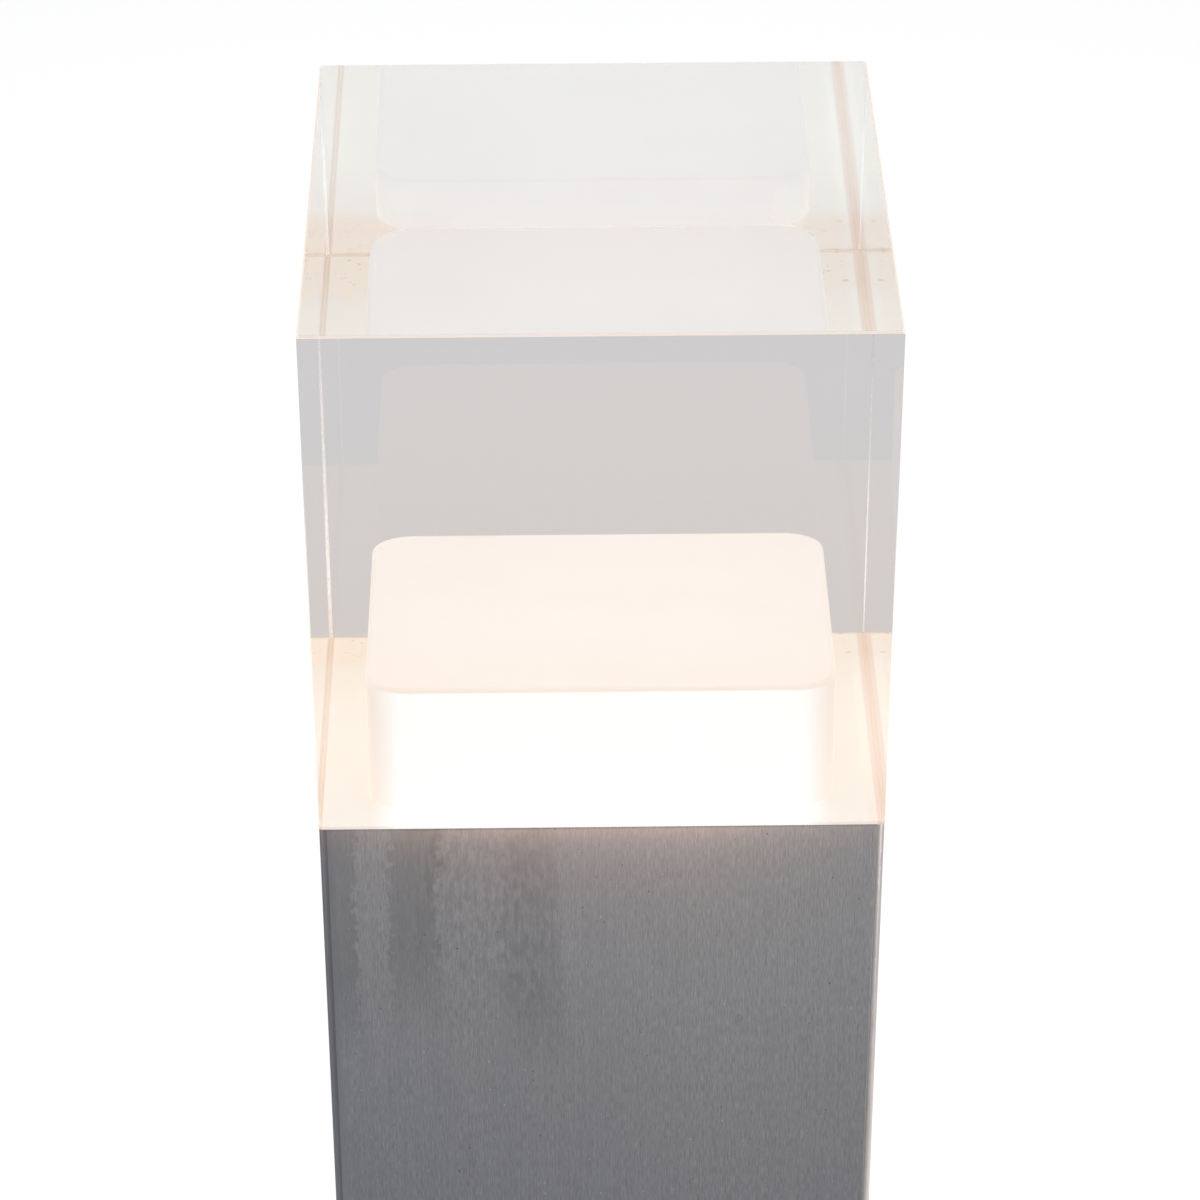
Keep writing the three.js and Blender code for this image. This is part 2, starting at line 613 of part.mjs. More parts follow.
function addGear(group) {
  group.add(part("gear_tray", gearTray(), materials.aluminium));
  group.add(part("led_driver", ledDriver(), materials.whitePlastic));
  group.add(part("terminal_block", terminalBlock(), materials.greyPlastic));
  group.add(part("cable_saddle", cableSaddle(), materials.whitePlastic));
  group.add(part("earth_lug", earthLug(), materials.screwSteel));
  signs.forEach((sign, i) => {
    const saddleSeat = TRAY.face - SADDLE.strap;
    const tabSeat = TRAY.face - DRIVER.tabDepth;
    const saddleScrew = { ...SMALL_SCREW, length: SADDLE.strap + TRAY.sheet };
    const driverScrew = { ...SMALL_SCREW, length: DRIVER.tabDepth + TRAY.sheet };
    group.add(backScrew(`tray_screw_${i + 1}`, TRAY_SCREW, sign * TRAY_SCREW.x, TRAY.face, TRAY_SCREW.z));
    group.add(backScrew(`driver_screw_${i + 1}`, driverScrew, 0, tabSeat, TAB_SCREW_Z[i]));
    const saddleX = sign * SADDLE_SCREW.x;
    group.add(backScrew(`saddle_screw_${i + 1}`, saddleScrew, saddleX, saddleSeat, SADDLE_SCREW.z));
  });
  POLES.forEach((x, i) => {
    const seat = TERMINAL_FRONT + TERMINAL_SCREW.sunk + TERMINAL_SCREW.headHeight;
    group.add(backScrew(`terminal_screw_${i + 1}`, TERMINAL_SCREW, x, seat, TERMINAL_MIDDLE));
  });
  const earthScrew = { ...EARTH, length: LUG.thickness + TRAY.sheet };
  group.add(backScrew("earth_screw", earthScrew, EARTH.x, TRAY.face - LUG.thickness, EARTH.z));
}

function addWires(group) {
  const middle = TRAY.face - DRIVER.depth / 2;
  const { wireY, top } = TERMINAL;
  const { entry, straight, steps } = WIRE;
  const supply = [
    ["supply_wire_live", materials.brown, POLES[0], DRIVER_WIRE_X[0]],
    ["supply_wire_neutral", materials.blue, POLES[1], DRIVER_WIRE_X[1]],
  ];
  supply.forEach(([name, material, from, to]) => {
    const points = [
      [from, wireY, top - entry],
      [from, wireY, top],
      [from, wireY, top + straight],
      [to, middle, DRIVER.bottom - straight],
      [to, middle, DRIVER.bottom],
      [to, middle, DRIVER.bottom + entry - FIT],
    ];
    group.add(part(name, wire(WIRE.supply, points, steps), material));
  });
  const lugTail = EARTH.z - LUG.tailEnd;
  const lugFace = TRAY.face - LUG.thickness;
  const arch = 7; // the earth wire's crest over the terminals
  const lay = 2; // how far each way from the lug's end the wire's own end runs
  const earth = [
    [POLES[2], wireY, top - entry],
    [POLES[2], wireY, top],
    [POLES[2] + 1, wireY, top + straight],
    [EARTH.x - 3, wireY, top + arch],
    [EARTH.x, wireY - 1, top + straight],
    [EARTH.x, lugFace - WIRE.supply - 1.75, lugTail - lay],
    [EARTH.x, lugFace - WIRE.supply - FIT, lugTail + lay],
  ];
  group.add(part("earth_wire", wire(WIRE.supply, earth, steps), materials.green));
  const below = -12; // where the lamp wires come together under the carrier
  const rise = 2.5; // the wires' bend from the lead hole into the connector
  const led = [
    ["led_wire_plus", materials.red, DRIVER_WIRE_X[0] / 2, LED_WIRE_Y[0]],
    ["led_wire_minus", materials.black, DRIVER_WIRE_X[1] / 2, LED_WIRE_Y[1]],
  ];
  led.forEach(([name, material, fromX, toY]) => {
    const points = [
      [fromX, middle, DRIVER.top - entry + FIT],
      [fromX, middle, DRIVER.top],
      [fromX, middle, DRIVER.top + straight],
      [0, toY, below],
      [0, toY, below / 2],
      [0, toY, LED_WIRE_Z - rise],
      [0.6 * rise, toY, LED_WIRE_Z - FIT],
      [1.6 * rise, toY, LED_WIRE_Z],
      [CONNECTOR.x - CONNECTOR.length / 2 + CONNECTOR.socketDepth - 0.5, toY, LED_WIRE_Z],
    ];
    group.add(part(name, wire(WIRE.led, points, 2 * steps), material));
  });
}

function buildHead() {
  const group = new THREE.Group();
  group.position.z = RIM;
  addLamp(group);
  addGear(group);
  addWires(group);
  return group;
}

const bollard = new THREE.Group();
bollard.add(buildBase(), buildPost(), buildHead());

export default bollard;
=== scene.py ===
"""Bollard light: a clear acrylic block with a glowing opal diffuser in its foot, on a brushed steel post.

Metres, +Z up, front towards -Y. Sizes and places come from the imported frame.
"""

import json
import math

import bmesh
import bpy
from mathutils import Matrix, Vector


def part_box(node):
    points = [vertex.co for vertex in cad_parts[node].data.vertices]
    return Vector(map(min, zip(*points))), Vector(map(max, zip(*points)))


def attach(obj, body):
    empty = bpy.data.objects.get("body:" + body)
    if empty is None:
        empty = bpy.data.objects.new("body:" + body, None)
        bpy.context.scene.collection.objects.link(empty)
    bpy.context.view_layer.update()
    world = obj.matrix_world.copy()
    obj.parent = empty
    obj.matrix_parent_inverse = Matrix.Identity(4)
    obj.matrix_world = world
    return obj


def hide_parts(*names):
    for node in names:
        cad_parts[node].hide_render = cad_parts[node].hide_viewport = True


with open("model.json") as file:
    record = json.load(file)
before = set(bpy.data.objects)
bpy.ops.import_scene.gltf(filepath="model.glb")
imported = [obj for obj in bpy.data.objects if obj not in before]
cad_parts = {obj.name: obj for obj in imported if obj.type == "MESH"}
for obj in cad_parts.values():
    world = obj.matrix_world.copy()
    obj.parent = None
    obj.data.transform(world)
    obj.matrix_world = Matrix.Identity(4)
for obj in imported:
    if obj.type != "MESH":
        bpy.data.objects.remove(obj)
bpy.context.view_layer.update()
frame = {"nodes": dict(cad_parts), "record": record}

MM = 0.001
nodes_of = frame["nodes"]
slot_of = {part["node"]: part["material_slot"] for part in frame["record"]["subparts"]}

BLOCK_LOW, BLOCK_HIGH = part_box("acrylic_block")
DIFFUSER_LOW, DIFFUSER_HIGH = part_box("opal_diffuser")
SEAL_LOW, SEAL_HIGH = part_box("block_seal")
TUBE_LOW, TUBE_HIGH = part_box("post_tube")
BLOCK_SIDE = BLOCK_HIGH.x - BLOCK_LOW.x
BLOCK_HALF = BLOCK_SIDE / 2
BLOCK_TOP = BLOCK_HIGH.z
BLOCK_CHAMFER = 0.3 * MM  # round the block's top face
DIFFUSER_EDGE = 0.8 * MM  # the rounding of the diffuser's top edge
BOND = 0.05 * MM          # how far bonded pieces run into the block, so that no air shows between them


# ---------------------------------------------------------------- camera

CAMERA_PLACE = (-0.0815, -6.2362, 3.5751)  # from the block's top front edge, in block sides
CAMERA_YAW = math.radians(0.724)
CAMERA_PITCH = math.radians(33.294)
CAMERA_ROLL = math.radians(0.138)
CAMERA_LENS = 131.3   # in mm, like the sensor
CAMERA_SENSOR = 36.0
CAMERA_NEAREST = 0.01


def make_camera():
    data = bpy.data.cameras.new("camera")
    data.lens = CAMERA_LENS
    data.sensor_width = CAMERA_SENSOR
    data.clip_start = CAMERA_NEAREST
    camera = bpy.data.objects.new("camera", data)
    bpy.context.scene.collection.objects.link(camera)
    edge = Vector((0.0, BLOCK_LOW.y, BLOCK_TOP))
    camera.location = edge + BLOCK_SIDE * Vector(CAMERA_PLACE)
    turn = Matrix.Rotation(-CAMERA_YAW, 4, "Z")
    tilt = Matrix.Rotation(math.pi / 2 - CAMERA_PITCH, 4, "X")
    roll = Matrix.Rotation(-CAMERA_ROLL, 4, "Z")
    camera.rotation_euler = (turn @ tilt @ roll).to_euler()
    bpy.context.scene.camera = camera


# ---------------------------------------------------------------- material helpers

GRAIN_DEPTH = 0.05 * MM  # the relief of a material's grain


def opaque(value):
    """A colour of three numbers with the alpha that its socket wants. A plain number stays as it is."""
    return (*value, 1.0) if isinstance(value, tuple) else value


def add_node(tree, kind, inputs=None, **settings):
    """Adds a shader node. An input is a value, or the output socket that feeds it."""
    made = tree.nodes.new(kind)
    for key, value in settings.items():
        setattr(made, key, value)
    for key, value in (inputs or {}).items():
        if isinstance(value, bpy.types.NodeSocket):
            tree.links.new(value, made.inputs[key])
        else:
            made.inputs[key].default_value = value
    return made


def new_material(name):
    material = bpy.data.materials.new(name)
    material.use_nodes = True
    tree = material.node_tree
    return material, tree, tree.nodes["Principled BSDF"]


def set_shader(shader, **values):
    """Sets the shader's sockets, which are named here in lower case and with underscores."""
    for key, value in values.items():
        socket = key.replace("_", " ").title().replace("Ior", "IOR")
        shader.inputs[socket].default_value = opaque(value)


def noise(tree, scale, detail=3.0, roughness=0.5):
    """Noise over the object, with scale in cycles per metre on each axis."""
    place = add_node(tree, "ShaderNodeTexCoord")
    mapping = add_node(tree, "ShaderNodeMapping", {"Vector": place.outputs["Object"], "Scale": scale})
    made = add_node(
        tree, "ShaderNodeTexNoise",
        {"Vector": mapping.outputs["Vector"], "Scale": 1.0, "Detail": detail, "Roughness": roughness},
    )
    return made.outputs["Fac"]


def separate_place(tree):
    """The place on the object, as x, y and z."""
    place = add_node(tree, "ShaderNodeTexCoord")
    made = add_node(tree, "ShaderNodeSeparateXYZ", {"Vector": place.outputs["Object"]})
    return made.outputs["X"], made.outputs["Y"], made.outputs["Z"]


def calculate(tree, operation, a, b=0.0):
    made = add_node(tree, "ShaderNodeMath", {0: a, 1: b}, operation=operation)
    return made.outputs[0]


def add(tree, total, *others):
    for other in others:
        total = calculate(tree, "ADD", total, other)
    return total


def multiply(tree, product, *others):
    """The product of values. That of masks shows where all of them overlap."""
    for other in others:
        product = calculate(tree, "MULTIPLY", product, other)
    return product


def distance(tree, value):
    """How far a coordinate is from the middle."""
    return calculate(tree, "ABSOLUTE", value)


def spread(tree, value, low, high, from_low=0.3, from_high=0.7):
    """Maps a value from one range to another."""
    made = add_node(
        tree, "ShaderNodeMapRange",
        {"Value": value, "From Min": from_low, "From Max": from_high, "To Min": low, "To Max": high},
    )
    return made.outputs["Result"]


def ramp(tree, value, start, end):
    """0 at start and 1 at end. Start may lie above end."""
    return spread(tree, value, 0.0, 1.0, start, end)


def past(tree, value, place, soft):
    """0 before place and 1 past it, changing within soft on either side. A negative soft swaps the two."""
    return ramp(tree, value, place - soft, place + soft)


def blend_colours(tree, factor, a, b, blend="MIX"):
    made = add_node(tree, "ShaderNodeMix", data_type="RGBA", blend_type=blend)
    for socket, value in ((made.inputs[0], factor), (made.inputs[6], a), (made.inputs[7], b)):
        if isinstance(value, bpy.types.NodeSocket):
            tree.links.new(value, socket)
        else:
            socket.default_value = opaque(value)
    return made.outputs[2]


def lay_over(tree, base, layers):
    """Lays each colour over the base in turn, as strongly as its mask says."""
    for mask, colour in layers:
        base = blend_colours(tree, mask, base, colour)
    return base


def shade(tree, base, factor, low, high):
    """Multiplies the base by a tone that goes from low to high with the factor."""
    tone = blend_colours(tree, factor, low, high)
    return blend_colours(tree, 1.0, base, tone, "MULTIPLY")


def bump(tree, height, strength, depth):
    made = add_node(tree, "ShaderNodeBump", {"Height": height, "Strength": strength, "Distance": depth})
    return made.outputs["Normal"]


# ---------------------------------------------------------------- clear acrylic

SKIN = 0.01 * MM         # a point this near a flat face's plane counts as lying on the face
MILLED_REACH = 1.0 * MM  # how far in from the sides the milled edges may lie
ACRYLIC_SPECULAR = (2.6, 2.0, 1.45)  # over 1, which makes the faces mirror more than plain acrylic does
SIDE_TINT = (0.985, 0.98, 0.975)
TOP_TINT = (0.8, 0.915, 0.99)
DEPTH_TINT = (0.5, 0.8, 0.9)

# painted light, emitted: the lamp's light in the upright edges, which falls off between two depths below the
# top, and in the chamfer
FOOT_EDGE_LIGHT = (0.13, 0.112, 0.1)
HIGH_EDGE_LIGHT = (0.02, 0.018, 0.016)
EDGE_LIGHT_FADES = 38 * MM
EDGE_LIGHT_FADED = 24 * MM
CHAMFER_LIGHT = (0.17, 0.12, 0.085)

# painted light on the top face, a faint emitted glow that is bluer behind, with the places on y between which
# one tone gives way to the next
BACK_PAINTED_GLOW = (0.042, 0.055, 0.078)
MIDDLE_PAINTED_GLOW = (0.04, 0.018, 0.03)
FRONT_PAINTED_GLOW = (0.03, 0.02, 0.03)
BACK_TO_MIDDLE = (-5 * MM, -11 * MM)
MIDDLE_TO_FRONT = (-12 * MM, -22 * MM)


def acrylic_material():
    """Clear polished acrylic with finely milled edges. Its top face is tinted cooler and carries a faint
    painted glow; the milled edges carry painted light.
    """
    material, tree, shader = new_material("clear_acrylic")
    x, y, z = separate_place(tree)
    side = calculate(tree, "MAXIMUM", distance(tree, x), distance(tree, y))
    top = ramp(tree, z, BLOCK_TOP - 3 * SKIN, BLOCK_TOP - SKIN)
    milled = multiply(
        tree,
        ramp(tree, side, BLOCK_HALF - MILLED_REACH, BLOCK_HALF - 0.9 * MILLED_REACH),
        ramp(tree, side, BLOCK_HALF - 0.5 * SKIN, BLOCK_HALF - 1.5 * SKIN),
        ramp(tree, z, BLOCK_TOP - SKIN, BLOCK_TOP - 2 * SKIN),
        ramp(tree, z, BLOCK_LOW.z, BLOCK_LOW.z + 10 * SKIN),
    )
    tree.links.new(blend_colours(tree, top, SIDE_TINT, TOP_TINT), shader.inputs["Base Color"])
    polish = spread(tree, noise(tree, (90.0, 90.0, 90.0), 4.0), 0.0, 0.01)
    rough = calculate(tree, "MAXIMUM", polish, multiply(tree, milled, 0.5))
    tree.links.new(rough, shader.inputs["Roughness"])

    # painted light: the milled edges and the chamfer glow with emission
    fade = ramp(tree, z, BLOCK_TOP - EDGE_LIGHT_FADES, BLOCK_TOP - EDGE_LIGHT_FADED)
    light = blend_colours(tree, fade, FOOT_EDGE_LIGHT, HIGH_EDGE_LIGHT)
    light = blend_colours(tree, past(tree, z, BLOCK_TOP - BLOCK_CHAMFER, 2 * SKIN), light, CHAMFER_LIGHT)
    # painted light: a faint glow emitted from the top face
    painted_top_light = blend_colours(tree, ramp(tree, y, *BACK_TO_MIDDLE), BACK_PAINTED_GLOW, MIDDLE_PAINTED_GLOW)
    painted_top_light = blend_colours(tree, ramp(tree, y, *MIDDLE_TO_FRONT), painted_top_light, FRONT_PAINTED_GLOW)
    light = blend_colours(tree, top, light, painted_top_light)
    tree.links.new(light, shader.inputs["Emission Color"])
    tree.links.new(calculate(tree, "MAXIMUM", milled, top), shader.inputs["Emission Strength"])
    depth = add_node(tree, "ShaderNodeVolumeAbsorption", {"Color": opaque(DEPTH_TINT), "Density": 1.0})
    tree.links.new(depth.outputs["Volume"], tree.nodes["Material Output"].inputs["Volume"])
    set_shader(shader, ior=1.49, transmission_weight=1.0, specular_tint=ACRYLIC_SPECULAR)
    return material


# ---------------------------------------------------------------- opal acrylic

SIDE_GLOW = (1.01, 0.97, 0.94)
BACK_GLOW = (0.93, 0.79, 0.7)
CORNER_GLOW = (0.89, 0.76, 0.65)
TOP_GLOW = (0.92, 0.785, 0.69)
TOP_FRONT_GLOW = (0.92, 0.775, 0.665)
SIDE_TO_BACK = (25 * MM, 33 * MM)       # places on y between which one gives way to the other
TOP_TO_FRONT = (-15 * MM, -33 * MM)
CORNER_STARTS = (4.5 * MM, 20 * MM)     # how far in from the sides the corners' tone starts, on x and on y
CORNER_FULL = (0.8 * MM, 5 * MM)        # and is full


def opal_material():
    """Glowing opal acrylic: bright white on its sides, warmer on top, behind and at its rounded corners."""
    material, tree, shader = new_material("opal_acrylic")
    x, y, z = separate_place(tree)
    half = DIFFUSER_HIGH.x
    edge = DIFFUSER_HIGH.z - DIFFUSER_EDGE
    corner = multiply(
        tree,
        ramp(tree, distance(tree, x), half - CORNER_STARTS[0], half - CORNER_FULL[0]),
        ramp(tree, distance(tree, y), half - CORNER_STARTS[1], half - CORNER_FULL[1]),
    )
    sides = blend_colours(tree, ramp(tree, y, *SIDE_TO_BACK), SIDE_GLOW, BACK_GLOW)
    sides = blend_colours(tree, corner, sides, CORNER_GLOW)
    top = blend_colours(tree, ramp(tree, y, *TOP_TO_FRONT), TOP_GLOW, TOP_FRONT_GLOW)
    glow = blend_colours(tree, ramp(tree, z, edge - 0.05 * MM, edge + 0.1 * MM), sides, top)
    tree.links.new(glow, shader.inputs["Emission Color"])
    cloud = noise(tree, (60.0, 60.0, 60.0), 2.0)
    tree.links.new(spread(tree, cloud, 0.985, 1.015), shader.inputs["Emission Strength"])
    set_shader(shader, base_color=(0.15, 0.145, 0.14), roughness=0.55)
    return material


# ---------------------------------------------------------------- bonding silicone

GLUE_LEFT = BLOCK_HALF - 11 * MM     # the excess glue lies behind this at the back left corner
GLUE_RIGHT = BLOCK_HALF - 9 * MM     # and behind this at the back right one
BARE_RIGHT = BLOCK_HALF - 1.05 * MM  # outside this the layer is thin and shows the tube's rim
BARE_LEFT = 0.5 * MM - BLOCK_HALF
BROWN_RIM = BLOCK_HALF - 0.4 * MM    # outside this the layer's fillet glows brown
OUTER_FACE = BLOCK_HALF - 0.07 * MM
GLUE_STARTS, GLUE_FULL = 20 * MM, 26 * MM          # distances on x from the middle
GLUE_RIGHT_SHARE = 0.5                             # how strong the glue on the right is beside the other
LAMP_STARTS, LAMP_FULL = 26 * MM, 28 * MM          # distances on y past which the layer faces the lamp
LAMP_END_GONE, LAMP_END_FULL = 32.5 * MM, 28 * MM  # and on x within which it does
PEACH_TO_FRONT = (-12 * MM, -34 * MM)              # places on y between which the peach turns paler
BROWN_RIM_BEHIND = (-38 * MM, -36 * MM)                 # and behind which its fillet glows brown

# painted light: the lamp's light in the layer, emitted in these colours; the glue, the bare rim and the
# flecks glow in their own tones
PEACH_GLOW = (0.615, 0.505, 0.415)
PALE_PEACH_GLOW = (0.615, 0.52, 0.44)
FRONT_PEACH_GLOW = (0.635, 0.565, 0.51)
LAMP_SIDE_GLOW = (0.8, 0.78, 0.76)
GLUE_GLOW = (0.67, 0.53, 0.43)
BARE_BESIDE_GLOW = (0.63, 0.54, 0.46)
BARE_RIGHT_GLOW = (0.575, 0.395, 0.315)
BARE_LEFT_GLOW = (0.58, 0.45, 0.36)
RIM_BROWN_GLOW = (0.53, 0.35, 0.235)
FLECK_BROWN_GLOW = (0.48, 0.33, 0.21)

# the layer's colours in the light that falls on it
SILICONE_COLOUR = (0.5, 0.455, 0.405)
GLUE_COLOUR = (0.5, 0.41, 0.33)
FLECK_COLOUR = (0.4, 0.3, 0.21)


def silicone_material():
    """Translucent bonding silicone whose lamplight is painted in as an emitted glow, brightest where it faces
    the lamp, uneven and specked at its back corners.
    """
    material, tree, shader = new_material("silicone")
    x, y, _ = separate_place(tree)
    out_x, out_y = distance(tree, x), distance(tree, y)
    out = calculate(tree, "MAXIMUM", out_x, out_y)
    cloud = noise(tree, (140.0, 140.0, 140.0), 3.0)
    waver = noise(tree, (260.0, 260.0, 260.0), 2.0)
    specks = noise(tree, (900.0, 900.0, 700.0), 1.5)

    run = add(tree, y, spread(tree, waver, -3 * MM, 3 * MM))
    glue_left = multiply(tree, ramp(tree, x, -GLUE_STARTS, -GLUE_FULL), past(tree, run, GLUE_LEFT, 2 * MM))
    glue_right = multiply(tree, ramp(tree, x, GLUE_STARTS, GLUE_FULL), past(tree, run, GLUE_RIGHT, 2 * MM))
    glue = calculate(tree, "MAXIMUM", glue_left, multiply(tree, glue_right, GLUE_RIGHT_SHARE))
    flecked = calculate(tree, "MAXIMUM", glue_left, glue_right)
    fleck = multiply(tree, ramp(tree, specks, 0.66, 0.74), flecked)
    facing_lamp = multiply(
        tree,
        ramp(tree, out_y, LAMP_STARTS, LAMP_FULL),
        ramp(tree, out_x, LAMP_END_GONE, LAMP_END_FULL),
    )
    beside_bare = multiply(
        tree,
        ramp(tree, x, BARE_RIGHT - 1.6 * MM, BARE_RIGHT - 1.1 * MM),
        ramp(tree, x, BARE_RIGHT, BARE_RIGHT - 0.3 * MM),
    )
    rim = multiply(
        tree,
        ramp(tree, out, BROWN_RIM - 0.1 * MM, BROWN_RIM),
        ramp(tree, out, OUTER_FACE, OUTER_FACE - 0.05 * MM),
        ramp(tree, y, *BROWN_RIM_BEHIND),
    )

    # painted light: the layer glows in place of the lamp's light falling into it
    glow = blend_colours(tree, spread(tree, cloud, 0.0, 1.0), PEACH_GLOW, PALE_PEACH_GLOW)
    glow = lay_over(tree, glow, (
        (ramp(tree, y, *PEACH_TO_FRONT), FRONT_PEACH_GLOW),
        (facing_lamp, LAMP_SIDE_GLOW),
        (glue, GLUE_GLOW),
        (beside_bare, BARE_BESIDE_GLOW),
        (past(tree, x, BARE_RIGHT, 0.1 * MM), BARE_RIGHT_GLOW),
        (past(tree, x, BARE_LEFT, -0.1 * MM), BARE_LEFT_GLOW),
        (rim, RIM_BROWN_GLOW),
        (fleck, FLECK_BROWN_GLOW),
    ))
    tree.links.new(glow, shader.inputs["Emission Color"])
    colour = blend_colours(tree, glue, SILICONE_COLOUR, GLUE_COLOUR)
    colour = blend_colours(tree, fleck, colour, FLECK_COLOUR)
    tree.links.new(colour, shader.inputs["Base Color"])
    tree.links.new(bump(tree, cloud, 0.2, 2 * GRAIN_DEPTH), shader.inputs["Normal"])
    set_shader(shader, roughness=0.6, emission_strength=1.0)
    return material


# ---------------------------------------------------------------- brushed steel

# darker bands in the steel near its rim, with ragged sides: from and to on x in mm, and how strongly
DARK_BANDS = ((-41, -35, 1.0), (-29.7, -22.5, 1.0), (-14, -6.5, 0.5))
DARK_BANDS_GONE, DARK_BANDS_FULL = 43 * MM, 27 * MM        # depths below the rim
DARK_BAND_STRENGTH = 0.52
# and mottling between two places on x
MOTTLED_LEFT, MOTTLED_RIGHT = -29 * MM, -5 * MM
MOTTLED_GONE, MOTTLED_FULL = 41 * MM, 25 * MM  # depths below the rim
MOTTLED_SHARE = 0.7                            # how strong the mottling is beside the bands

# painted light, emitted: the lamp's light on the steel, strong and faint: how far below the rim each has
# fallen to about a third
GLOW_REACH, FAINT_GLOW_REACH = 2.4 * MM, 10 * MM
GLOW_STRENGTH, FAINT_GLOW_STRENGTH = 0.67, 0.42
GLOW_COLOUR = (0.26, 0.155, 0.11)

DARK_GRAIN = (0.318, 0.321, 0.328)
LIGHT_GRAIN = (0.462, 0.46, 0.462)
TICK = (0.22, 0.225, 0.235)
HAIR = (0.35, 0.352, 0.36)
STREAK = (0.35, 0.355, 0.37)
DARK_BAND = (0.24, 0.245, 0.25)
PALE_NICK = (0.6, 0.6, 0.6)
DARK_NICK = (0.15, 0.15, 0.16)

# tones that the colour is multiplied by: painted light and shade down the post and from left to right, and
# faint upright lines in the grain
RIM_LIGHT_TONE, LOW_SHADE_TONE = (1.17, 1.17, 1.17), (0.78, 0.79, 0.825)
LOW_SHADE_AT = 80 * MM                          # depth below the rim
LEFT_SHADE_TONE, RIGHT_LIGHT_TONE = (0.93, 0.935, 0.95), (1.02, 1.015, 1.01)
LEFT_TO_RIGHT = (-40 * MM, 20 * MM)
DARK_LINE, LIGHT_LINE = (0.965, 0.965, 0.965), (1.03, 1.03, 1.03)

# colours along the upright corners, a painted highlight on the right (1) and painted shade on the left (-1):
# where each starts and is full, in mm in from the face's edge, and the colour itself
CORNER_LIGHT_AND_SHADE = (
    (1, 1.25, 0.8, (1.0, 0.94, 0.91)),
    (-1, 2.2, 1.4, (0.29, 0.3, 0.325)),
    (-1, 1.1, 0.6, (0.4, 0.415, 0.45)),
)
TO_ONE_SIDE = (30 * MM, 35 * MM)  # distances on x between which a place comes to count as right or left


def darker_patches(tree, x, below, cloud):
    """Where the steel is darker near its rim: bands with ragged sides, and mottling."""
    fringe = noise(tree, (1000.0, 1000.0, 680.0), 3.0, 0.6)
    blots = noise(tree, (950.0, 950.0, 330.0), 2.0, 0.6)
    ripple = spread(tree, fringe, -1.3 * MM, 1.3 * MM)
    rippled = add(tree, x, ripple, spread(tree, cloud, -1.2 * MM, 1.2 * MM))
    drop = add(tree, below, spread(tree, cloud, -7 * MM, 7 * MM))
    bands = 0.0
    for start, end, weight in DARK_BANDS:
        left_side = past(tree, rippled, start * MM, 0.4 * MM)
        right_side = past(tree, rippled, end * MM, -0.4 * MM)
        bands = add(tree, bands, multiply(tree, left_side, right_side, weight))
    bands = multiply(tree, bands, ramp(tree, drop, DARK_BANDS_GONE, DARK_BANDS_FULL))
    mottle = multiply(
        tree,
        ramp(tree, blots, 0.45, 0.57),
        ramp(tree, drop, MOTTLED_GONE, MOTTLED_FULL),
        ramp(tree, x, MOTTLED_LEFT, MOTTLED_LEFT + 6 * MM),
        ramp(tree, x, MOTTLED_RIGHT, MOTTLED_RIGHT - 5 * MM),
    )
    return add(tree, bands, multiply(tree, mottle, MOTTLED_SHARE))


def rim_glow(tree, below, along, dashes):
    """The lamp's light on the steel, painted in as emission: strong at the rim, faint further down, weaker
    towards the corners.
    """
    near = calculate(tree, "EXPONENT", calculate(tree, "DIVIDE", below, -GLOW_REACH))
    far = calculate(tree, "EXPONENT", calculate(tree, "DIVIDE", below, -FAINT_GLOW_REACH))
    light = add(tree, multiply(tree, near, GLOW_STRENGTH), multiply(tree, far, FAINT_GLOW_STRENGTH))
    lip = spread(tree, below, 0.4, 1.0, 0.2 * MM, 0.45 * MM)
    ends = spread(tree, along, 1.0, 0.25, 14 * MM, 38 * MM)
    return multiply(tree, light, lip, ends, spread(tree, dashes, 0.94, 1.06))


